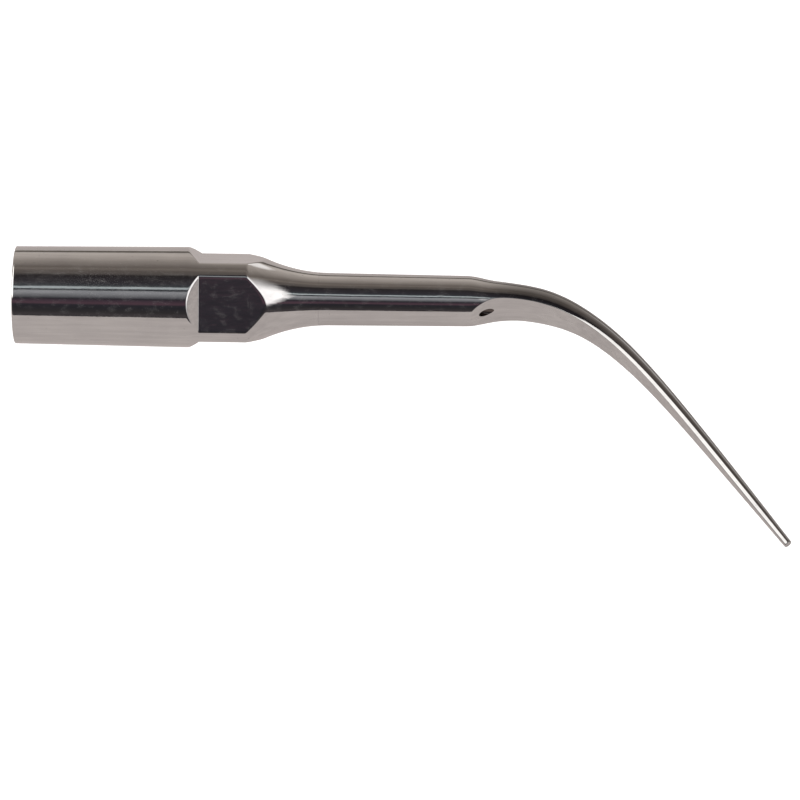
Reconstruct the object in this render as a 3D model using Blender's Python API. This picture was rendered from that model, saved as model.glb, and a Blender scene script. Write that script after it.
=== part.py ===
"""Screw-on working tip of an ultrasonic scaler: a threaded hub with a bent, ground working stem fixed in it.

The frame: the origin is the centre of the hub's rear seat face, on the thread axis. +X runs along the axis
towards the working end, and +Z is the outward normal of the top wrench flat. Lengths below are in millimetres.
"""

import math

import bmesh
import bpy
import numpy as np

MM = 0.001
SEGMENTS = 48  # sides of a turned surface
FIT_GAP = 0.02  # clearance between the stem and the hub's socket

# Hub, outside
REAR_RADIUS = 2.41
FRONT_RADIUS = 2.49
EDGE_BREAK = 0.06
CYLINDER_END = 8.55
FLATS_START = 9.15
FLATS_RADIUS = 2.44
FLAT_DISTANCE = 1.98  # axis to each wrench flat
MILL_END = 14.5  # how far the flats' cutters reach forward, outward and to the sides
MILL_TOP = 3.2
MILL_SIDE = 3.0
FLARE_RADIUS = 8.0  # concave arc that runs out into the shank
FLARE_END = 15.6
SEAM = 15.0  # front face of the hub

# Hub, inside: an M3 x 0.5 thread between a lead-in and a relief groove
THREAD_MAJOR = 1.5
THREAD_MINOR = 1.23
THREAD_PITCH = 0.5
THREAD_ROOT = 0.0625  # half the groove's width at its root, in pitches
THREAD_MOUTH = 0.44  # the same at THREAD_OVERCUT inside the bore
THREAD_OVERCUT = 0.06
LEAD_IN_RADIUS = 1.6
LEAD_IN_DEPTH = 0.7
RELIEF_RADIUS = 1.6
RELIEF_START = 6.2
RELIEF_END = 6.9
PASSAGE_RADIUS = 0.6
SOCKET_RADIUS = 0.92
SOCKET_START = 10.6
THREAD_STEPS = 24  # steps a turn

# Stem
SPIGOT_RADIUS = SOCKET_RADIUS - FIT_GAP
SHANK_RADIUS = 1.30
SHANK_END_RADIUS = 1.25
SHANK_END = 22.6
CHANNEL_RADIUS = 0.4
CHANNEL_END = 14.5
CHANNEL_SIDES = 20
OUTLET_RADIUS = 0.2  # the outlet's bore leaves the channel on the axis and breaks out through the ground face
OUTLET_START = 13.5
OUTLET_END = 24.3
OUTLET_SIDES = 16
OUTLET_SLOPE = math.radians(4.7)

# Working end, measured along its centreline from BEND_START
BEND_START = 23.62
BEND_ANGLE = math.radians(56.45)
BEND_LENGTH = 4.96
BEND_POWER = 1.64
ARC_LENGTH = 20.6
BEND_STATIONS = 70
BEND_PLANE = math.radians(225.0)  # the tip bends along a diagonal of the wrench square
FACE_TURN = math.radians(12.0)  # the ground face is turned this far from the bend plane
# Distance along the centreline and the radius there
TIP_STATIONS = (
    (0.0, 1.03),
    (1.0, 0.93),
    (2.5, 0.85),
    (5.0, 0.64),
    (8.0, 0.495),
    (12.0, 0.38),
    (16.0, 0.3),
    (20.6, 0.195),
)
FACE_SHARE = 0.54  # distance of the ground face from the centreline, over the radius there
FACE_RADIUS_LIMIT = 1.0  # above this radius the face comes no further out
FACE_FADE = 0.45
FACE_FADE_POWER = 1.4
RUNOUT_SLOPE = 0.6
RUNOUT_BLEND = 0.35
RUNOUT_START = 22.1  # ahead of where the ramp meets the surface
NO_FACE = 9.0
LEAST_EDGE = math.radians(14.0)
ARC_POINTS = 34
FACE_POINTS = 7


def clear_scene():
    for obj in list(bpy.data.objects):
        bpy.data.objects.remove(obj, do_unlink=True)


def steel(name, roughness):
    material = bpy.data.materials.new(name)
    material.use_nodes = True
    shader = material.node_tree.nodes["Principled BSDF"]
    shader.inputs["Base Color"].default_value = (0.62, 0.60, 0.58, 1.0)
    shader.inputs["Metallic"].default_value = 1.0
    shader.inputs["Roughness"].default_value = roughness
    return material


def mesh_object(name, points, faces):
    """A smooth-shaded object from points in millimetres, with its faces turned outwards."""
    mesh = bpy.data.meshes.new(name)
    mesh.from_pydata([tuple(MM * c for c in point) for point in points], [], faces)
    work = bmesh.new()
    work.from_mesh(mesh)
    bmesh.ops.recalc_face_normals(work, faces=work.faces)
    work.to_mesh(mesh)
    work.free()
    mesh.shade_smooth()
    mesh.set_sharp_from_angle(angle=math.radians(30.0))
    obj = bpy.data.objects.new(name, mesh)
    bpy.context.scene.collection.objects.link(obj)
    return obj


def skinned(name, rings, closed):
    """Rings of equal length joined in order. A closed skin joins its last ring to its first; an open one is capped."""
    count = len(rings[0])
    points = [point for ring in rings for point in ring]
    spans = len(rings) if closed else len(rings) - 1
    faces = []
    for i in range(spans):
        here, ahead = i * count, (i + 1) % len(rings) * count
        for j in range(count):
            k = (j + 1) % count
            faces.append((here + j, here + k, ahead + k, ahead + j))
    if not closed:
        faces.append(tuple(range(count)))
        faces.append(tuple(range(len(points) - count, len(points))))
    return mesh_object(name, points, faces)


def turned(name, outline, closed, sides=SEGMENTS):
    """A shape turned about the X axis from an outline of (x, radius)."""
    turns = [2.0 * math.pi * (j + 0.5) / sides for j in range(sides)]
    return skinned(name, [[(x, r * math.cos(t), r * math.sin(t)) for t in turns] for x, r in outline], closed)


def cut(obj, cutter):
    cutter.hide_render = True
    cutter.display_type = "WIRE"
    modifier = obj.modifiers.new("cut_" + cutter.name, "BOOLEAN")
    modifier.operation = "DIFFERENCE"
    modifier.solver = "EXACT"
    modifier.object = cutter


def flare_radius(x):
    """The concave arc from the wrench zone down to the shank, which it meets tangentially."""
    return SHANK_RADIUS + FLARE_RADIUS - math.sqrt(FLARE_RADIUS**2 - (FLARE_END - min(x, FLARE_END)) ** 2)


def flare_start():
    rise = FLATS_RADIUS - SHANK_RADIUS
    return FLARE_END - math.sqrt(2.0 * FLARE_RADIUS * rise - rise**2)


def hub_outline():
    flare = [(x, flare_radius(x)) for x in np.linspace(flare_start(), SEAM, 15)]
    outside = [
        (0.0, REAR_RADIUS - EDGE_BREAK),
        (EDGE_BREAK, REAR_RADIUS),
        (CYLINDER_END, FRONT_RADIUS),
        (FLATS_START, FLATS_RADIUS),
    ]
    inside = [
        (SEAM, SOCKET_RADIUS),
        (SOCKET_START, SOCKET_RADIUS),
        (SOCKET_START, PASSAGE_RADIUS),
        (RELIEF_END, PASSAGE_RADIUS),
        (RELIEF_END, RELIEF_RADIUS),
        (RELIEF_START, RELIEF_RADIUS),
        (RELIEF_START, THREAD_MINOR),
        (LEAD_IN_DEPTH, THREAD_MINOR),
        (LEAD_IN_DEPTH, LEAD_IN_RADIUS),
        (0.0, LEAD_IN_RADIUS),
    ]
    return outside + flare + inside


def thread_cutter():
    """The groove of the internal thread, which starts in the lead-in and ends in the relief groove."""
    section = [
        (-THREAD_MOUTH * THREAD_PITCH, THREAD_MINOR - THREAD_OVERCUT),
        (-THREAD_ROOT * THREAD_PITCH, THREAD_MAJOR),
        (THREAD_ROOT * THREAD_PITCH, THREAD_MAJOR),
        (THREAD_MOUTH * THREAD_PITCH, THREAD_MINOR - THREAD_OVERCUT),
    ]
    start, end = 0.5 * LEAD_IN_DEPTH, 0.5 * (RELIEF_START + RELIEF_END)
    steps = round((end - start) / THREAD_PITCH * THREAD_STEPS)
    rings = []
    for i in range(steps + 1):
        turn = 2.0 * math.pi * i / THREAD_STEPS
        x = start + THREAD_PITCH * i / THREAD_STEPS
        rings.append([(x + dx, r * math.cos(turn), r * math.sin(turn)) for dx, r in section])
    return skinned("thread_cutter", rings, False)


def flat_cutter(index):
    """A prism that mills one wrench flat, with a sloping shoulder at its rear end."""
    slope = (FLATS_START - CYLINDER_END) / (FRONT_RADIUS - FLAT_DISTANCE)
    outline = [
        (FLATS_START, FLAT_DISTANCE),
        (MILL_END, FLAT_DISTANCE),
        (MILL_END, MILL_TOP),
        (FLATS_START - slope * (MILL_TOP - FLAT_DISTANCE), MILL_TOP),
    ]
    turn = 0.5 * math.pi * index
    out, along = (math.cos(turn), math.sin(turn)), (-math.sin(turn), math.cos(turn))
    rings = [
        [(x, r * out[0] + s * along[0], r * out[1] + s * along[1]) for x, r in outline]
        for s in (-MILL_SIDE, MILL_SIDE)
    ]
    return skinned(f"flat_cutter_{index}", rings, False)


def threaded_hub():
    hub = turned("threaded_hub", hub_outline(), True)
    for index in range(4):
        cut(hub, flat_cutter(index))
    cut(hub, thread_cutter())
    hub.data.materials.append(steel("hub_steel", 0.12))


def tip_radius(along):
    """A smooth curve through TIP_STATIONS."""
    places, radii = np.array(TIP_STATIONS).T
    slopes = np.gradient(radii, places)
    i = min(max(int(np.searchsorted(places, along)) - 1, 0), len(places) - 2)
    span = places[i + 1] - places[i]
    t = min(max((along - places[i]) / span, 0.0), 1.0)
    return (
        (2 * t**3 - 3 * t**2 + 1) * radii[i]
        + (t**3 - 2 * t**2 + t) * span * slopes[i]
        + (3 * t**2 - 2 * t**3) * radii[i + 1]
        + (t**3 - t**2) * span * slopes[i + 1]
    )


def face_distance(along, radius):
    """Distance of the ground face from the centreline, with its ramp up to the shank's surface."""
    share = FACE_SHARE + FACE_FADE * (max(along, 0.0) / ARC_LENGTH) ** FACE_FADE_POWER
    ramp = 0.5 * RUNOUT_SLOPE * (math.hypot(along, RUNOUT_BLEND) - along)
    return min(share, 1.0) * min(radius, FACE_RADIUS_LIMIT) + ramp


def section(radius, face):
    """(distance, angle) round a circle with one flat, the flat being at angle 0."""
    edge = max(math.acos(min(face / radius, 1.0)), LEAST_EDGE)
    angles = [edge + 2.0 * (math.pi - edge) * j / ARC_POINTS for j in range(ARC_POINTS)]
    angles += [-edge + 2.0 * edge * j / FACE_POINTS for j in range(FACE_POINTS)]
    return [(min(radius, face / math.cos(a)) if abs(a) <= edge else radius, a) for a in angles]


def shank_radius(x):
    """The shank's slight taper, then the neck down to the working end."""
    places = (FLARE_END, SHANK_END, BEND_START)
    return float(np.interp(x, places, (SHANK_RADIUS, SHANK_END_RADIUS, TIP_STATIONS[0][1])))


def stem_stations():
    """(centre x, centre offset in the bend plane, slope, radius, face distance) along the stem."""
    straight = [(SOCKET_START + FIT_GAP, SPIGOT_RADIUS), (SEAM + FIT_GAP, SPIGOT_RADIUS)]
    straight += [(x, flare_radius(x)) for x in np.linspace(SEAM + FIT_GAP, FLARE_END, 4)]
    straight += [(x, shank_radius(x)) for x in np.linspace(FLARE_END, RUNOUT_START, 4)[1:-1]]
    stations = [(x, 0.0, 0.0, r, NO_FACE) for x, r in straight]
    for x in np.linspace(RUNOUT_START, BEND_START - 0.1, 12):
        radius = shank_radius(x)
        stations.append((x, 0.0, 0.0, radius, face_distance(x - BEND_START, radius)))
    x, offset, step = BEND_START, 0.0, ARC_LENGTH / BEND_STATIONS
    for i in range(BEND_STATIONS + 1):
        slope = BEND_ANGLE * math.tanh(i * step / BEND_LENGTH) ** BEND_POWER
        radius = tip_radius(i * step)
        stations.append((x, offset, slope, radius, face_distance(i * step, radius)))
        middle = BEND_ANGLE * math.tanh((i + 0.5) * step / BEND_LENGTH) ** BEND_POWER
        x += step * math.cos(middle)
        offset += step * math.sin(middle)
    return stations


def stem_rings():
    rings = []
    side = BEND_PLANE + 0.5 * math.pi
    for x, offset, slope, radius, face in stem_stations():
        ring = []
        for distance, angle in section(radius, face):
            turn = angle - FACE_TURN
            within, across = distance * math.cos(turn), distance * math.sin(turn)
            down = offset + within * math.cos(slope)
            ring.append((
                x - within * math.sin(slope),
                down * math.cos(BEND_PLANE) + across * math.cos(side),
                down * math.sin(BEND_PLANE) + across * math.sin(side),
            ))
        rings.append(ring)
    return rings


def outlet_cutter():
    """A long bore that leans towards the ground face and breaks out through its ramp."""
    toward = BEND_PLANE - FACE_TURN
    rings = []
    for x in (OUTLET_START, OUTLET_END):
        out = (x - OUTLET_START) * math.tan(OUTLET_SLOPE)
        ring = []
        for j in range(OUTLET_SIDES):
            turn = 2.0 * math.pi * j / OUTLET_SIDES
            lift, across = OUTLET_RADIUS * math.cos(turn), OUTLET_RADIUS * math.sin(turn)
            reach = out + lift * math.cos(OUTLET_SLOPE)
            ring.append((
                x - lift * math.sin(OUTLET_SLOPE),
                reach * math.cos(toward) - across * math.sin(toward),
                reach * math.sin(toward) + across * math.cos(toward),
            ))
        rings.append(ring)
    return skinned("outlet_cutter", rings, False)


def working_stem():
    stem = skinned("working_stem", stem_rings(), False)
    bore = [(SOCKET_START - 1.0, CHANNEL_RADIUS), (CHANNEL_END, CHANNEL_RADIUS)]
    cut(stem, turned("channel_cutter", bore, False, CHANNEL_SIDES))
    cut(stem, outlet_cutter())
    stem.data.materials.append(steel("stem_steel", 0.1))


clear_scene()
threaded_hub()
working_stem()
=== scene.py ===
"""Looks of the ultrasonic scaler tip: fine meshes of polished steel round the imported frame, and the studio.

Shapes are in millimetres, in the frame's axes: +X runs along the hub's axis towards the working end.
"""

import math

import bpy
import numpy as np
from mathutils import Matrix, Vector


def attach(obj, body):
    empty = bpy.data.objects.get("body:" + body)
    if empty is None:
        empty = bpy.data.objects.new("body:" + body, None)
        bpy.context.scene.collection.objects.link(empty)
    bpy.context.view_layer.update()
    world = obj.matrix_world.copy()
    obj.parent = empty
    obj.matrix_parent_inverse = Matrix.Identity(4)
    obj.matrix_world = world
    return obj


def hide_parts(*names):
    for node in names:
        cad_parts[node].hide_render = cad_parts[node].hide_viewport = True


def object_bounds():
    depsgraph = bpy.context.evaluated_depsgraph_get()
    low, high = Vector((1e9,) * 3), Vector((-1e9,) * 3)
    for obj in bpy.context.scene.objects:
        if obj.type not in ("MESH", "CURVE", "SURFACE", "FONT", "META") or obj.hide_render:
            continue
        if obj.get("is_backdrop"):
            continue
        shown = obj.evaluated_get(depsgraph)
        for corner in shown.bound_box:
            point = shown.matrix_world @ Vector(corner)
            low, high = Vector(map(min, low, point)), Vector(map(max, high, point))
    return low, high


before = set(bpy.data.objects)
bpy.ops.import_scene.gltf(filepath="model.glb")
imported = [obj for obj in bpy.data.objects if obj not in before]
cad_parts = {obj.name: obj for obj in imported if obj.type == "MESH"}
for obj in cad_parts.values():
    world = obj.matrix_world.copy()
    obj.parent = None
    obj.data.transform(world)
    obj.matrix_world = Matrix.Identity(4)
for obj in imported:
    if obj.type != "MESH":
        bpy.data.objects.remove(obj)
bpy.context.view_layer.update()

MM = 0.001

# ---------------------------------------------------------------- sizes, in millimetres, as in the CAD model
FIT_GAP = 0.02
REAR_RADIUS = 2.41
FRONT_RADIUS = 2.49
REAR_CORE = 2.0  # a ring on the flat rear face, between the edge and the lead-in
EDGE_BREAK = 0.06
CYLINDER_END = 8.55
FLATS_START = 9.15
FLATS_RADIUS = 2.44
FLAT_DISTANCE = 1.98
FLARE_RADIUS = 8.0
FLARE_END = 15.6
SEAM = 15.0
SEAM_EDGE = 0.003  # edge break on both sides of the joint line
SEAM_SIGHT = 0.003  # gap that shows at the joint line
THREAD_MAJOR = 1.5  # radius, as the next one is
THREAD_MINOR = 1.23
THREAD_PITCH = 0.5
LEAD_IN_RADIUS = 1.6
LEAD_IN_DEPTH = 0.7
LEAD_IN_CONE = 0.3  # length of the cone between the lead-in and the thread
LEAD_IN_BREAK = 0.08  # edge break at the mouth of the lead-in
RELIEF_START = 6.2
RELIEF_END = 6.9
PASSAGE_RADIUS = 0.6
SOCKET_RADIUS = 0.92
SOCKET_START = 10.6
SPIGOT_RADIUS = SOCKET_RADIUS - FIT_GAP
SPIGOT_BREAK = 0.08
SHANK_RADIUS = 1.30
SHANK_END_RADIUS = 1.25
SHANK_END = 22.6
CHANNEL_RADIUS = 0.4
CHANNEL_END = 14.5
CHANNEL_CONE = 0.2  # length of the drill point at the channel's blind end
CHANNEL_POINT = 0.05  # radius that is left at the drill point, and edge break at the channel's mouth
OUTLET_RADIUS = 0.2
OUTLET_START = 13.5
OUTLET_END = 24.3
OUTLET_SLOPE = math.radians(4.7)
BEND_START = 23.62
BEND_ANGLE = math.radians(56.45)
BEND_LENGTH = 4.96
BEND_POWER = 1.64
ARC_LENGTH = 20.6
BEND_PLANE = math.radians(225.0)
FACE_TURN = math.radians(12.0)
TIP_STATIONS = ((0.0, 1.03), (1.0, 0.93), (2.5, 0.85), (5.0, 0.64), (8.0, 0.495), (12.0, 0.38), (16.0, 0.30),
                (20.6, 0.195))
FACE_SHARE = 0.54
FACE_FADE = 0.45
FACE_FADE_POWER = 1.4
RUNOUT_SLOPE = 0.6
RUNOUT_BLEND = 0.35
NO_FACE = 9.0  # a face distance beyond every radius, for the rows without a ground face
NECK_BLEND = 0.45
NECK_REACH = 2.0  # beyond this distance into the bend the radius needs no blend
END_ROUNDING = 0.05
CUTTER_START = 21.0  # rear end of the outlet's cutter, inside the stem

# ---------------------------------------------------------------- fineness of the visible meshes
POLISHED_EDGE = 0.05  # how far polishing has rounded the milled edges
GROUND_EDGE = 0.02  # the same for the edges of the ground face
FLAT_COLUMNS = 56  # columns across one wrench flat
CORNER_COLUMNS = 24  # columns across the round corner between two flats
FACE_COLUMNS = 16  # columns across half of the ground face
EDGE_COLUMNS = 10  # columns across one edge of it
BACK_COLUMNS = 44  # columns round half of the stem's back
SMALLEST_EDGE = math.radians(9.0)  # where the face's edge columns stay when there is no face
SQUARE_ON = 0.05  # columns whose angle has a smaller cosine than this never meet the face
OUTLET_COLUMNS = 72
THREAD_ROWS = 10  # rows to one turn of the thread
REAR_ROWS = 6  # rows over the hub's edge break
END_ROWS = 7  # rows over the rounded tip
HUB_ROWS = (  # (start, end, rows): close rows over the shoulders and the front ends of the wrench flats
    (0.1, 8.35, 14),
    (8.37, 9.3, 46),
    (9.35, 11.3, 14),
    (11.32, 12.7, 56),
    (12.75, 14.97, 30),
)
FLARE_ROWS = 10  # rows on the stem's part of the flare
SHANK_ROWS = (16.0, 21.6, 16)  # as HUB_ROWS, on the shank
NECK_ROWS = (21.65, BEND_START - 0.02, 70)  # as HUB_ROWS, on the neck, where the ground face starts
WORKING_ROWS = 320  # rows along the bent working end
SHARP_FROM = math.radians(35.0)  # edges that turn by more than this stay sharp


def soft_least(a, b, blend):
    """The lesser of two distances, rounded over where they meet."""
    share = np.clip(0.5 + 0.5 * (b - a) / blend, 0.0, 1.0)
    return b * (1.0 - share) + a * share - blend * share * (1.0 - share)


def volume(mesh):
    """Volume inside a closed mesh: negative if its faces point inwards."""
    mesh.calc_loop_triangles()
    points = np.empty(len(mesh.vertices) * 3)
    mesh.vertices.foreach_get("co", points)
    corners = np.empty(len(mesh.loop_triangles) * 3, np.int32)
    mesh.loop_triangles.foreach_get("vertices", corners)
    return np.linalg.det(points.reshape(-1, 3)[corners].reshape(-1, 3, 3)).sum() / 6.0


def grid_object(name, rings, closed):
    """Rows of points in millimetres, each row a closed ring, as one smooth mesh. An open one is capped."""
    rows, columns = rings.shape[:2]
    index = np.arange(rows * columns).reshape(rows, columns)
    after = np.roll(index, -1, axis=1)
    spans = rows if closed else rows - 1
    ahead, ahead_after = np.roll(index, -1, axis=0), np.roll(after, -1, axis=0)
    quads = np.stack([index, after, ahead_after, ahead], axis=-1)[:spans].reshape(-1, 4).tolist()
    if not closed:
        quads.append(index[0][::-1].tolist())
        quads.append(index[-1].tolist())
    mesh = bpy.data.meshes.new(name)
    mesh.from_pydata((rings.reshape(-1, 3) * MM).tolist(), [], quads)
    if volume(mesh) < 0.0:
        mesh.flip_normals()
    mesh.shade_smooth()
    obj = bpy.data.objects.new(name, mesh)
    bpy.context.scene.collection.objects.link(obj)
    return obj


# ---------------------------------------------------------------- the hub
def flare_radius(x):
    before_end = np.clip(FLARE_END - x, 0.0, FLARE_RADIUS)
    return SHANK_RADIUS + FLARE_RADIUS - np.sqrt(FLARE_RADIUS**2 - before_end**2)


def turned_radius(x):
    """Radius of the turned blank: the slightly tapered cylinder, the wrench zone and the flare."""
    radius = np.interp(x, [EDGE_BREAK, CYLINDER_END, FLATS_START], [REAR_RADIUS, FRONT_RADIUS, FLATS_RADIUS])
    return soft_least(radius, flare_radius(x), POLISHED_EDGE)


def hub_columns():
    """Angles round the hub, with a column on every edge between a wrench flat and a corner."""
    half = math.acos(FLAT_DISTANCE / FLATS_RADIUS)
    quarter = np.concatenate([
        np.linspace(-half, half, FLAT_COLUMNS, endpoint=False),
        np.linspace(half, 0.5 * math.pi - half, CORNER_COLUMNS, endpoint=False),
    ])
    return np.concatenate([quarter + 0.5 * math.pi * k for k in range(4)])


def milled_radius(x, turns):
    """The turned blank with the four flats and their sloping shoulders milled off."""
    slope = (FRONT_RADIUS - FLAT_DISTANCE) / (FLATS_START - CYLINDER_END)
    plane = FLAT_DISTANCE + slope * np.maximum(FLATS_START - x, 0.0)
    from_flat = np.abs((turns + 0.25 * math.pi) % (0.5 * math.pi) - 0.25 * math.pi)
    return soft_least(turned_radius(x), plane / np.cos(from_flat), POLISHED_EDGE)


def thread_radius(x, turns):
    """A 60 degree internal thread that fades in at the lead-in and out at the relief groove."""
    crest_edge, flank = 3.0 / 8.0, 5.0 / 16.0  # shares of the pitch
    phase = (x / THREAD_PITCH - turns / (2.0 * math.pi)) % 1.0
    from_root = np.abs(phase - 0.5)  # 0 at the middle of the groove, 0.5 at the middle of the crest
    depth = np.clip((crest_edge - from_root) / flank, 0.0, 1.0)
    fade = np.clip(np.minimum(x - LEAD_IN_DEPTH, RELIEF_START - x) / (0.5 * THREAD_PITCH), 0.0, 1.0)
    return THREAD_MINOR + (THREAD_MAJOR - THREAD_MINOR) * depth * fade


def hub():
    turns = hub_columns()
    rows = []

    def ring(x, radius):
        radius = np.broadcast_to(radius, turns.shape)
        points = (np.full_like(turns, x), radius * np.cos(turns), radius * np.sin(turns))
        rows.append(np.stack(points, axis=-1))

    for angle in np.linspace(0.0, 0.5 * math.pi, REAR_ROWS):
        ring(EDGE_BREAK * (1.0 - math.sin(angle)), REAR_RADIUS - EDGE_BREAK * (1.0 - math.cos(angle)))
    rows.reverse()
    for start, end, count in HUB_ROWS:
        for x in np.linspace(start, end, count):
            ring(x, milled_radius(x, turns))
    ring(SEAM - SEAM_EDGE, flare_radius(SEAM))
    ring(SEAM, flare_radius(SEAM) - SEAM_EDGE)
    for x, radius in (
        (SEAM, SOCKET_RADIUS),
        (SOCKET_START, SOCKET_RADIUS),
        (SOCKET_START, PASSAGE_RADIUS),
        (RELIEF_END, PASSAGE_RADIUS),
        (RELIEF_END, LEAD_IN_RADIUS),
        (RELIEF_START, LEAD_IN_RADIUS),
        (RELIEF_START, THREAD_MINOR),
    ):
        ring(x, radius)
    thread_turns = (RELIEF_START - LEAD_IN_DEPTH) / THREAD_PITCH
    for x in np.linspace(RELIEF_START, LEAD_IN_DEPTH, round(thread_turns * THREAD_ROWS) + 1)[1:-1]:
        ring(x, thread_radius(x, turns))
    for x, radius in (
        (LEAD_IN_DEPTH - 0.01, THREAD_MINOR + 0.01),
        (LEAD_IN_DEPTH - LEAD_IN_CONE, LEAD_IN_RADIUS),
        (LEAD_IN_BREAK, LEAD_IN_RADIUS),
        (0.02, LEAD_IN_RADIUS + 0.03),
        (0.0, LEAD_IN_RADIUS + 0.09),
        (0.0, REAR_CORE),
    ):
        ring(x, radius)
    obj = grid_object("hub_body", np.array(rows), True)
    obj.data.set_sharp_from_angle(angle=SHARP_FROM)
    return obj


# ---------------------------------------------------------------- the stem
def tip_radius(along):
    """A smooth curve through TIP_STATIONS."""
    places, radii = np.array(TIP_STATIONS).T
    slopes = np.gradient(radii, places)
    i = np.clip(np.searchsorted(places, along) - 1, 0, len(places) - 2)
    span = places[i + 1] - places[i]
    t = np.clip((along - places[i]) / span, 0.0, 1.0)
    return (
        (2 * t**3 - 3 * t**2 + 1) * radii[i]
        + (t**3 - 2 * t**2 + t) * span * slopes[i]
        + (3 * t**2 - 2 * t**3) * radii[i + 1]
        + (t**3 - t**2) * span * slopes[i + 1]
    )


def sharp_radius(along):
    """Radius of the shank, neck and working end before polishing, `along` being negative behind the bend."""
    places = (FLARE_END - BEND_START, SHANK_END - BEND_START, 0.0)
    straight = np.interp(along, places, (SHANK_RADIUS, SHANK_END_RADIUS, TIP_STATIONS[0][1]))
    return np.where(along < 0.0, straight, tip_radius(np.maximum(along, 0.0)))


def polished_radius(along):
    """The same with the corners at both ends of the neck blended by polishing."""
    reach = NECK_BLEND * np.linspace(-1.0, 1.0, 21)
    return float(np.average(sharp_radius(along + reach), weights=1.05 - np.abs(reach) / NECK_BLEND))


def face_distance(along, radius):
    """Distance of the ground face from the centreline, with its ramp up to the shank's surface."""
    share = FACE_SHARE + FACE_FADE * (max(along, 0.0) / ARC_LENGTH) ** FACE_FADE_POWER
    ramp = 0.5 * RUNOUT_SLOPE * (math.hypot(along, RUNOUT_BLEND) - along)
    return min(share, 1.0) * min(radius, 1.0) + ramp


def section(radius, face, blend):
    """(distance, angle) round a circle with a flat at angle 0, and close columns at the flat's two edges."""
    edge = math.acos(min(face / radius, 1.0)) if face < radius else 0.0
    edge = max(edge, SMALLEST_EDGE)
    close = min(3.0 * GROUND_EDGE / radius, 0.35 * edge)
    half = np.concatenate([
        np.linspace(0.0, edge - close, FACE_COLUMNS, endpoint=False),
        np.linspace(edge - close, edge + close, EDGE_COLUMNS, endpoint=False),
        np.linspace(edge + close, math.pi, BACK_COLUMNS),
    ])
    angles = np.concatenate([half, -half[-2:0:-1]])
    cosine = np.cos(angles)
    flat = np.where(cosine > SQUARE_ON, face / np.maximum(cosine, SQUARE_ON), 10.0 * radius)
    return soft_least(np.full_like(angles, radius), flat, blend), angles


def bend_slope(along):
    """Angle between the hub's axis and the centreline, whose curvature fades out along the working end."""
    return BEND_ANGLE * math.tanh(along / BEND_LENGTH) ** BEND_POWER


def stem_rings():
    side = BEND_PLANE + 0.5 * math.pi
    rows = []

    def ring(x, offset, slope, radius, face):
        distance, angle = section(radius, face, min(GROUND_EDGE, 0.08 * radius))
        turn = angle - FACE_TURN
        within, across = distance * np.cos(turn), distance * np.sin(turn)
        down = offset + within * math.cos(slope)
        rows.append(np.stack([
            x - within * math.sin(slope),
            down * math.cos(BEND_PLANE) + across * math.cos(side),
            down * math.sin(BEND_PLANE) + across * math.sin(side),
        ], axis=-1))

    rear = SOCKET_START + FIT_GAP
    start = SEAM + SEAM_SIGHT
    for x, radius in (
        (CHANNEL_END, CHANNEL_POINT),
        (CHANNEL_END - CHANNEL_CONE, CHANNEL_RADIUS),
        (rear + CHANNEL_POINT, CHANNEL_RADIUS),
        (rear, CHANNEL_RADIUS + CHANNEL_POINT),
        (rear, SPIGOT_RADIUS - SPIGOT_BREAK),
        (rear + SPIGOT_BREAK, SPIGOT_RADIUS),
        (start, SPIGOT_RADIUS),
        (start, flare_radius(start) - SEAM_EDGE),
        (start + SEAM_EDGE, flare_radius(start)),
    ):
        ring(x, 0.0, 0.0, radius, NO_FACE)
    for x in np.linspace(start + 2.0 * SEAM_EDGE, FLARE_END, FLARE_ROWS):
        ring(x, 0.0, 0.0, flare_radius(x), NO_FACE)
    for x in np.linspace(*SHANK_ROWS):
        ring(x, 0.0, 0.0, polished_radius(x - BEND_START), NO_FACE)
    for x in np.linspace(*NECK_ROWS):
        radius = polished_radius(x - BEND_START)
        ring(x, 0.0, 0.0, radius, face_distance(x - BEND_START, radius))
    x, offset, slope = BEND_START, 0.0, 0.0
    step = ARC_LENGTH / WORKING_ROWS
    for i in range(WORKING_ROWS):
        along = i * step
        slope = bend_slope(along)
        radius = polished_radius(along) if along < NECK_REACH else float(tip_radius(along))
        ring(x, offset, slope, radius, face_distance(along, radius))
        middle = bend_slope((i + 0.5) * step)
        x += step * math.cos(middle)
        offset += step * math.sin(middle)
    end_radius = tip_radius(ARC_LENGTH)
    for angle in np.linspace(0.0, 0.5 * math.pi, END_ROWS):
        ahead = END_ROUNDING * math.sin(angle) - END_ROUNDING
        radius = end_radius - END_ROUNDING * (1.0 - math.cos(angle))
        ring(x + ahead * math.cos(slope), offset + ahead * math.sin(slope), slope, radius, NO_FACE)
    return np.array(rows)


def outlet_cutter():
    """The water outlet's bore, which leans towards the ground face and breaks out through its ramp."""
    toward = BEND_PLANE - FACE_TURN
    turns = np.linspace(0.0, 2.0 * math.pi, OUTLET_COLUMNS, endpoint=False)
    lift, across = OUTLET_RADIUS * np.cos(turns), OUTLET_RADIUS * np.sin(turns)
    rows = []
    for x in (CUTTER_START, OUTLET_END):
        reach = (x - OUTLET_START) * math.tan(OUTLET_SLOPE) + lift * math.cos(OUTLET_SLOPE)
        rows.append(np.stack([
            x - lift * math.sin(OUTLET_SLOPE),
            reach * math.cos(toward) - across * math.sin(toward),
            reach * math.sin(toward) + across * math.cos(toward),
        ], axis=-1))
    obj = grid_object("outlet_cutter", np.array(rows)[:, ::-1], False)
    obj.hide_render = True
    return obj


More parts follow.
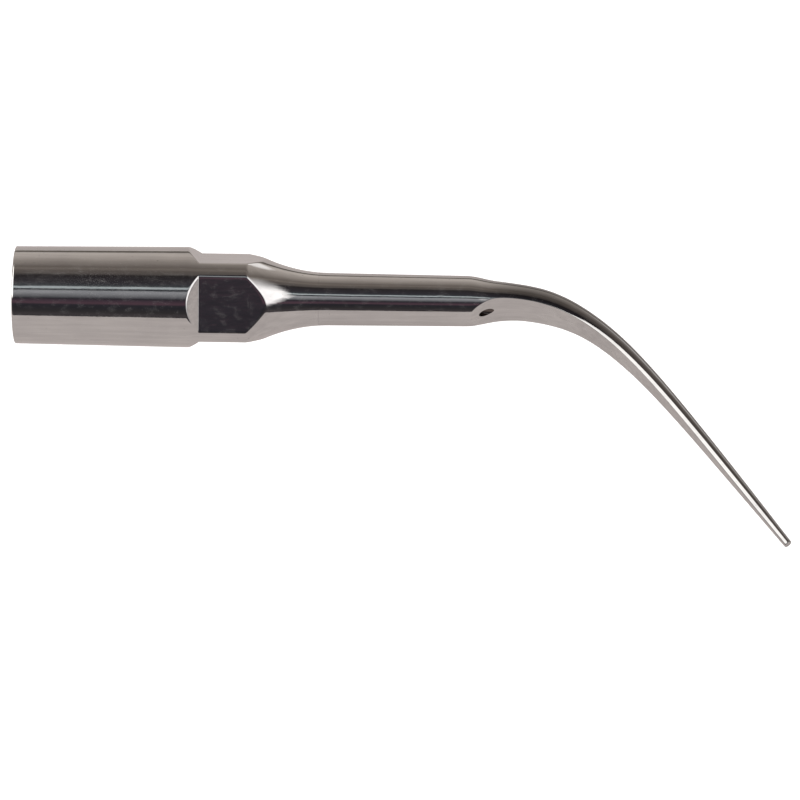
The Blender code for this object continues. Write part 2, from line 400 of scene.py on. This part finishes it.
def stem():
    obj = grid_object("stem_body", stem_rings(), False)
    cutter = outlet_cutter()
    modifier = obj.modifiers.new("outlet", "BOOLEAN")
    modifier.operation = "DIFFERENCE"
    modifier.object = cutter
    cut = bpy.data.meshes.new_from_object(obj.evaluated_get(bpy.context.evaluated_depsgraph_get()))
    obj.modifiers.clear()
    obj.data = cut
    bpy.data.objects.remove(cutter, do_unlink=True)
    obj.data.set_sharp_from_angle(angle=SHARP_FROM)
    return obj


# ---------------------------------------------------------------- polished steel
ALL_WAYS = (1.0, 1.0, 1.0)
GRAIN = {  # the noise of each kind of mark: (stretch along the axes, scale, detail)
    "cloud": (ALL_WAYS, 350.0, 3.0),
    "lines": ((0.03, 1.0, 1.0), 14000.0, 2.0),
    "streaks": ((0.06, 1.0, 1.0), 4500.0, 2.0),
    "waves": ((0.35, 1.0, 1.0), 900.0, 1.0),
    "mottle": ((0.7, 1.0, 1.0), 3200.0, 3.0),
    "smudges": ((0.8, 1.0, 1.0), 2200.0, 4.0),
    "specks": (ALL_WAYS, 9000.0, 1.0),
    "scratches": ((0.12, 1.0, 0.5), 7000.0, 1.0),
}
RELIEF = {"waves": 3.0, "mottle": 1.8, "streaks": 0.25, "lines": 0.10}  # bump heights in micrometres
STEEL = (0.61, 0.59, 0.57, 1.0)
STEEL_CLOUDED = (0.56, 0.54, 0.525, 1.0)
STEEL_SCRATCHED = (0.75, 0.73, 0.72, 1.0)
HUB_GRAZING = (0.93, 0.91, 0.90, 1.0)  # reflection at a grazing angle
STEM_GRAZING = (0.75, 0.73, 0.72, 1.0)
# painted shade inside the water outlet's bore
OUTLET_PAINTED_SHADE = (0.12, 0.10, 0.09, 1.0)
OUTLET_MARGIN = 0.006
PAINTED_BACK_SHADE = 0.50  # painted shade: brightness of the working end's round back against its ground face
OFF_FACE = (0.99, 0.95)  # how squarely a point faces the way the ground face does: on the face, off it
DARK_FROM = 22.3  # the painted shade on the back fades in from here
DARK_FULL = 25.5  # to here


def link(tree, a, b):
    tree.links.new(a, b)


def noise(tree, coordinates, stretch, scale, detail):
    """Noise whose grain is stretched along the axes by the three factors."""
    mapping = tree.nodes.new("ShaderNodeMapping")
    mapping.inputs["Scale"].default_value = stretch
    link(tree, coordinates, mapping.inputs["Vector"])
    texture = tree.nodes.new("ShaderNodeTexNoise")
    texture.inputs["Scale"].default_value = scale
    texture.inputs["Detail"].default_value = detail
    link(tree, mapping.outputs["Vector"], texture.inputs["Vector"])
    return texture.outputs["Fac"]


def ranged(tree, value, low, high, to_low, to_high):
    node = tree.nodes.new("ShaderNodeMapRange")
    node.inputs["From Min"].default_value = low
    node.inputs["From Max"].default_value = high
    node.inputs["To Min"].default_value = to_low
    node.inputs["To Max"].default_value = to_high
    link(tree, value, node.inputs["Value"])
    return node.outputs["Result"]


def math_node(tree, operation, *inputs):
    node = tree.nodes.new("ShaderNodeMath")
    node.operation = operation
    for socket, value in zip(node.inputs, inputs):
        if isinstance(value, float):
            socket.default_value = value
        else:
            link(tree, value, socket)
    return node.outputs["Value"]


def dot(tree, vector, axis):
    node = tree.nodes.new("ShaderNodeVectorMath")
    node.operation = "DOT_PRODUCT"
    link(tree, vector, node.inputs[0])
    node.inputs[1].default_value = axis
    return node.outputs["Value"]


def smooth_step(tree, value, low, high):
    node = tree.nodes.new("ShaderNodeMapRange")
    node.interpolation_type = "SMOOTHSTEP"
    node.inputs["From Min"].default_value = low
    node.inputs["From Max"].default_value = high
    link(tree, value, node.inputs["Value"])
    return node.outputs["Result"]


def mixed(tree, factor, a, b):
    node = tree.nodes.new("ShaderNodeMix")
    node.data_type = "RGBA"
    link(tree, factor, node.inputs["Factor"])
    for name, value in (("A", a), ("B", b)):
        if isinstance(value, tuple):
            node.inputs[name].default_value = value
        else:
            link(tree, value, node.inputs[name])
    return node.outputs["Result"]


def bumped(tree, height, micrometres, normal):
    node = tree.nodes.new("ShaderNodeBump")
    node.inputs["Strength"].default_value = 1.0
    node.inputs["Distance"].default_value = micrometres * 1e-6
    link(tree, height, node.inputs["Height"])
    if normal is not None:
        link(tree, normal, node.inputs["Normal"])
    return node.outputs["Normal"]


def scaled(tree, colour, factor):
    node = tree.nodes.new("ShaderNodeVectorMath")
    node.operation = "SCALE"
    link(tree, colour, node.inputs[0])
    if isinstance(factor, float):
        node.inputs["Scale"].default_value = factor
    else:
        link(tree, factor, node.inputs["Scale"])
    return node.outputs["Vector"]


def outlet_painted_shade(tree, place):
    """1 inside the water outlet's bore, where shade is painted, 0 elsewhere."""
    toward = BEND_PLANE - FACE_TURN
    lean = math.sin(OUTLET_SLOPE)
    axis = Vector((math.cos(OUTLET_SLOPE), lean * math.cos(toward), lean * math.sin(toward)))
    start = Vector((OUTLET_START * MM, 0.0, 0.0))
    offset = tree.nodes.new("ShaderNodeVectorMath")
    offset.operation = "SUBTRACT"
    link(tree, place, offset.inputs[0])
    offset.inputs[1].default_value = start
    cross = tree.nodes.new("ShaderNodeVectorMath")
    cross.operation = "CROSS_PRODUCT"
    link(tree, offset.outputs["Vector"], cross.inputs[0])
    cross.inputs[1].default_value = axis
    length = tree.nodes.new("ShaderNodeVectorMath")
    length.operation = "LENGTH"
    link(tree, cross.outputs["Vector"], length.inputs[0])
    inside = math_node(tree, "LESS_THAN", length.outputs["Value"], (OUTLET_RADIUS + OUTLET_MARGIN) * MM)
    ahead = dot(tree, place, (1.0, 0.0, 0.0))
    middle, reach = 0.5 * (CHANNEL_END + OUTLET_END) * MM, 0.45 * (OUTLET_END - CHANNEL_END) * MM
    in_reach = math_node(tree, "COMPARE", ahead, middle, reach)
    return math_node(tree, "MULTIPLY", inside, in_reach)


def painted_back_shade(tree, place):
    """1 on the round back of the working end, where shade is painted to make it darker than its ground face,
    and 0 elsewhere.
    """
    toward = BEND_PLANE - FACE_TURN
    normal = tree.nodes.new("ShaderNodeNewGeometry").outputs["Normal"]
    forward = dot(tree, normal, (1.0, 0.0, 0.0))
    outward = dot(tree, normal, (0.0, math.cos(toward), math.sin(toward)))
    forward_square = math_node(tree, "MULTIPLY", forward, forward)
    outward_square = math_node(tree, "MULTIPLY", outward, outward)
    in_plane = math_node(tree, "SQRT", math_node(tree, "ADD", forward_square, outward_square))
    facing = math_node(tree, "MULTIPLY", in_plane, math_node(tree, "SIGN", outward))
    back = smooth_step(tree, facing, *OFF_FACE)
    along = smooth_step(tree, dot(tree, place, (1.0, 0.0, 0.0)), DARK_FROM * MM, DARK_FULL * MM)
    return math_node(tree, "MULTIPLY", back, along)


def polished_steel(name, grazing):
    """Hand-polished steel: faint clouds, fine lines along the tip, shallow waves, scratches and specks, with
    painted shade on the working end's round back and in the water outlet's bore.
    """
    material = bpy.data.materials.new(name)
    material.use_nodes = True
    tree = material.node_tree
    shader = tree.nodes["Principled BSDF"]
    shader.inputs["Specular Tint"].default_value = grazing
    place = tree.nodes.new("ShaderNodeTexCoord").outputs["Object"]
    grain = {kind: noise(tree, place, *pattern) for kind, pattern in GRAIN.items()}
    speck = smooth_step(tree, grain["specks"], 0.74, 0.80)
    scratch = smooth_step(tree, grain["scratches"], 0.73, 0.80)

    cloud = ranged(tree, grain["cloud"], 0.35, 0.65, 0.0, 1.0)
    tint = mixed(tree, cloud, STEEL, STEEL_CLOUDED)
    streaked = ranged(tree, grain["streaks"], 0.3, 0.7, 0.94, 1.05)
    tint = scaled(tree, tint, math_node(tree, "ADD", streaked, math_node(tree, "MULTIPLY", speck, -0.35)))
    tint = mixed(tree, math_node(tree, "MULTIPLY", scratch, 0.1), tint, STEEL_SCRATCHED)
    # Painted shade: the round back of the working end is made darker than its ground face.
    tint = mixed(tree, painted_back_shade(tree, place), tint, scaled(tree, tint, PAINTED_BACK_SHADE))
    # Painted shade inside the water outlet's bore.
    tint = mixed(tree, outlet_painted_shade(tree, place), tint, OUTLET_PAINTED_SHADE)
    link(tree, tint, shader.inputs["Base Color"])

    # A thin film of grime, which shows only where the steel reflects something dark.
    film = math_node(tree, "MULTIPLY", smooth_step(tree, grain["mottle"], 0.5, 0.7), 0.03)
    film = math_node(tree, "ADD", film, math_node(tree, "MULTIPLY", speck, 0.10))
    link(tree, math_node(tree, "SUBTRACT", 1.0, film), shader.inputs["Metallic"])

    lined = ranged(tree, grain["lines"], 0.3, 0.75, 0.02, 0.08)
    clouded = ranged(tree, grain["cloud"], 0.3, 0.7, 0.0, 0.03)
    smudged = math_node(tree, "MULTIPLY", smooth_step(tree, grain["smudges"], 0.55, 0.75), 0.035)
    rough = math_node(tree, "ADD", lined, clouded)
    rough = math_node(tree, "ADD", rough, math_node(tree, "MULTIPLY", scratch, 0.10))
    rough = math_node(tree, "ADD", rough, smudged)
    link(tree, rough, shader.inputs["Roughness"])

    normal = None
    for kind, micrometres in RELIEF.items():
        normal = bumped(tree, grain[kind], micrometres, normal)
    link(tree, normal, shader.inputs["Normal"])
    return material


def dress(obj, node, material):
    obj.data.materials.clear()
    obj.data.materials.append(material)
    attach(obj, "root")
    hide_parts(node)


# ---------------------------------------------------------------- the studio
CAMERA_ELEVATION = math.radians(11.9)
CAMERA_ROLL = math.radians(0.82)
CAMERA_DISTANCE = 200.0
VIEW_WIDTH = 39.6  # millimetres across the picture, at the axis
AIM_X = 19.02
AIM_BELOW = 4.94
SENSOR = 36.0
TABLE_TILT = math.radians(51.0)  # how far the camera looks down on the reflected table
FLOOR_HALF = 1.5  # half the floor's side, in metres
FLOOR_BELOW = 0.6  # gap between the object and the floor
FLOOR_GLOW = 0.62


def studio_axes():
    """Right, up and back towards the camera, before the camera's small roll."""
    sine, cosine = math.sin(CAMERA_ELEVATION), math.cos(CAMERA_ELEVATION)
    return Vector((1.0, 0.0, 0.0)), Vector((0.0, sine, cosine)), Vector((0.0, -cosine, sine))


def camera():
    right, up, back = studio_axes()
    sine, cosine = math.sin(CAMERA_ROLL), math.cos(CAMERA_ROLL)
    right, up = right * cosine + up * sine, up * cosine - right * sine
    data = bpy.data.cameras.new("camera")
    data.sensor_width = SENSOR
    data.lens = SENSOR * CAMERA_DISTANCE / VIEW_WIDTH
    data.clip_start, data.clip_end = 0.01, 20.0
    obj = bpy.data.objects.new("camera", data)
    place = Vector((AIM_X, 0.0, 0.0)) - AIM_BELOW * up + CAMERA_DISTANCE * back
    obj.matrix_world = Matrix.Translation(place * MM) @ Matrix((right, up, back)).transposed().to_4x4()
    bpy.context.scene.collection.objects.link(obj)
    bpy.context.scene.camera = obj


def floor():
    half, height = FLOOR_HALF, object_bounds()[0].z - FLOOR_BELOW * MM
    corners = [(-half, -half, height), (half, -half, height), (half, half, height), (-half, half, height)]
    mesh = bpy.data.meshes.new("floor")
    mesh.from_pydata(corners, [], [(0, 1, 2, 3)])
    obj = bpy.data.objects.new("floor", mesh)
    bpy.context.scene.collection.objects.link(obj)
    material = bpy.data.materials.new("pale_floor")
    material.use_nodes = True
    shader = material.node_tree.nodes["Principled BSDF"]
    shader.inputs["Base Color"].default_value = (0.85, 0.85, 0.85, 1.0)
    shader.inputs["Roughness"].default_value = 1.0
    shader.inputs["Emission Color"].default_value = (1.0, 1.0, 1.0, 1.0)
    shader.inputs["Emission Strength"].default_value = FLOOR_GLOW
    obj.data.materials.append(material)
    obj.visible_glossy = False
    obj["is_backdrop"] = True


# What stands above the table from its front edge, over the camera, to its back edge: (degrees, linear colour)
ROOM = (
    (0.0, (0.045, 0.042, 0.047)),
    (5.0, (0.075, 0.066, 0.072)),
    (12.0, (0.045, 0.042, 0.045)),
    (24.0, (0.034, 0.033, 0.041)),
    (28.5, (0.040, 0.038, 0.048)),
    (32.0, (0.120, 0.070, 0.094)),
    (39.0, (0.070, 0.050, 0.068)),
    (43.0, (0.035, 0.033, 0.042)),
    (47.0, (0.150, 0.155, 0.175)),
    (51.0, (0.250, 0.260, 0.285)),
    (56.0, (0.370, 0.385, 0.42)),
    (61.0, (0.380, 0.400, 0.43)),
    (62.5, (0.050, 0.055, 0.065)),
    (65.5, (0.050, 0.055, 0.065)),
    (67.0, (0.62, 0.70, 0.74)),
    (70.0, (0.62, 0.70, 0.74)),
    (71.5, (0.070, 0.080, 0.090)),
    (80.0, (0.045, 0.042, 0.052)),
    (98.0, (0.034, 0.030, 0.032)),
    (102.0, (0.13, 0.115, 0.11)),
    (110.0, (0.16, 0.14, 0.13)),
    (115.0, (0.24, 0.21, 0.19)),
    (121.0, (0.20, 0.175, 0.16)),
    (140.0, (0.42, 0.38, 0.355)),
    (160.0, (0.64, 0.59, 0.555)),
    (169.0, (0.68, 0.635, 0.60)),
    (173.5, (0.17, 0.155, 0.14)),
    (178.0, (0.17, 0.155, 0.14)),
)
TABLE = (0.645, 0.600, 0.590, 1.0)
TABLE_EDGE = (0.008, -0.008)
RIGHT_PANEL = (1.75, 1.75, 1.78, 1.0)
LEFT_PANEL = (3.3, 3.3, 3.3, 1.0)
SIDE_WALL = (0.42, 0.40, 0.41, 1.0)
WHITE = (1.0, 1.0, 1.0, 1.0)
# Edges of the bright areas, from nothing to full, where 1 is straight to the right, up or towards the camera
WALL_ACROSS = (0.80, 0.90)
WEDGE_MIDDLE = 0.12  # height of the wedge's point
WEDGE_ABOVE = 0.2  # how fast its sides spread above and below that height
WEDGE_UNDER = 0.45
WEDGE_ACROSS = (0.38, 0.53)
WEDGE_BOTTOM = (-0.42, -0.18)
WEDGE_TOP = (0.75, 0.25)
WEDGE_TOWARD = (0.24, 0.38)
RAGGED = 0.16  # unevenness of the wedge's edge
LEFT_ACROSS = (-0.14, -0.22)
LEFT_TOWARD = (0.2, 0.4)
LEFT_BOTTOM = (-0.18, 0.0)
LEFT_CORNER = (1.25, 1.1)  # cuts off the panel's far upper corner
LAMP_WAY = (0.51, 0.80, -0.30)  # right, up and towards the camera
LAMP_EDGE = (0.984, 0.998)
LAMP_SHARE = 0.6  # brightness against the right-hand panel


def all_of(tree, *shares):
    """The product of the shares."""
    product = shares[0]
    for share in shares[1:]:
        product = math_node(tree, "MULTIPLY", product, share)
    return product


def room_colours(tree, height, depth):
    """The colours of ROOM, by the angle above the table's front edge."""
    arc = math_node(tree, "ARCTAN2", height, math_node(tree, "MULTIPLY", depth, -1.0))
    ramp = tree.nodes.new("ShaderNodeValToRGB")
    ramp.color_ramp.interpolation = "LINEAR"
    elements = ramp.color_ramp.elements
    for i, (degrees, colour) in enumerate(ROOM):
        element = elements[i] if i < 2 else elements.new(degrees / 180.0)
        element.position = degrees / 180.0
        element.color = (*colour, 1.0)
    link(tree, math_node(tree, "DIVIDE", arc, math.pi), ramp.inputs["Fac"])
    return ramp.outputs["Color"]


def right_panel(tree, direction, across, upward, toward):
    """A wedge that widens to the side, with an uneven edge."""
    over = math_node(tree, "SUBTRACT", upward, WEDGE_MIDDLE)
    above = math_node(tree, "MULTIPLY", over, WEDGE_ABOVE)
    under = math_node(tree, "MULTIPLY", over, -WEDGE_UNDER)
    off_middle = math_node(tree, "MAXIMUM", above, under)
    cloud = math_node(tree, "SUBTRACT", noise(tree, direction, ALL_WAYS, 9.0, 3.0), 0.5)
    uneven = math_node(tree, "MULTIPLY", cloud, RAGGED)
    wedge = math_node(tree, "ADD", math_node(tree, "SUBTRACT", across, off_middle), uneven)
    return all_of(
        tree,
        smooth_step(tree, wedge, *WEDGE_ACROSS),
        smooth_step(tree, upward, *WEDGE_BOTTOM),
        smooth_step(tree, upward, *WEDGE_TOP),
        smooth_step(tree, toward, *WEDGE_TOWARD),
    )


def left_panel(tree, across, upward, toward):
    return all_of(
        tree,
        smooth_step(tree, across, *LEFT_ACROSS),
        smooth_step(tree, toward, *LEFT_TOWARD),
        smooth_step(tree, upward, *LEFT_BOTTOM),
        smooth_step(tree, math_node(tree, "SUBTRACT", upward, across), *LEFT_CORNER),
    )


def studio_light():
    """One world that holds the pale table, the dark room behind the camera, the panels and a lamp."""
    world = bpy.data.worlds.new("studio")
    bpy.context.scene.world = world
    world.use_nodes = True
    tree = world.node_tree
    direction = tree.nodes.new("ShaderNodeTexCoord").outputs["Generated"]
    right, up, back = studio_axes()
    table_up = back * math.sin(TABLE_TILT) + up * math.cos(TABLE_TILT)
    table_back = up * math.sin(TABLE_TILT) - back * math.cos(TABLE_TILT)
    across, upward, toward = (dot(tree, direction, axis) for axis in (right, up, back))
    height, depth = (dot(tree, direction, axis) for axis in (table_up, table_back))

    side = smooth_step(tree, math_node(tree, "ABSOLUTE", across), *WALL_ACROSS)
    room = mixed(tree, side, room_colours(tree, height, depth), SIDE_WALL)
    lamp_axis = (right * LAMP_WAY[0] + up * LAMP_WAY[1] + back * LAMP_WAY[2]).normalized()
    lamp = smooth_step(tree, dot(tree, direction, lamp_axis), *LAMP_EDGE)
    lamp = math_node(tree, "MULTIPLY", lamp, LAMP_SHARE)
    on_right = math_node(tree, "MAXIMUM", right_panel(tree, direction, across, upward, toward), lamp)
    colour = mixed(tree, smooth_step(tree, height, *TABLE_EDGE), room, TABLE)
    colour = mixed(tree, on_right, colour, RIGHT_PANEL)
    colour = mixed(tree, left_panel(tree, across, upward, toward), colour, LEFT_PANEL)
    seen = tree.nodes.new("ShaderNodeLightPath").outputs["Is Camera Ray"]
    colour = mixed(tree, seen, colour, WHITE)
    link(tree, colour, tree.nodes["Background"].inputs["Color"])


def main():
    camera()
    dress(hub(), "threaded_hub", polished_steel("polished_hub_steel", HUB_GRAZING))
    dress(stem(), "working_stem", polished_steel("polished_stem_steel", STEM_GRAZING))
    floor()
    studio_light()
    scene = bpy.context.scene
    scene.view_settings.view_transform = "Standard"
    scene.view_settings.look = "None"


main()
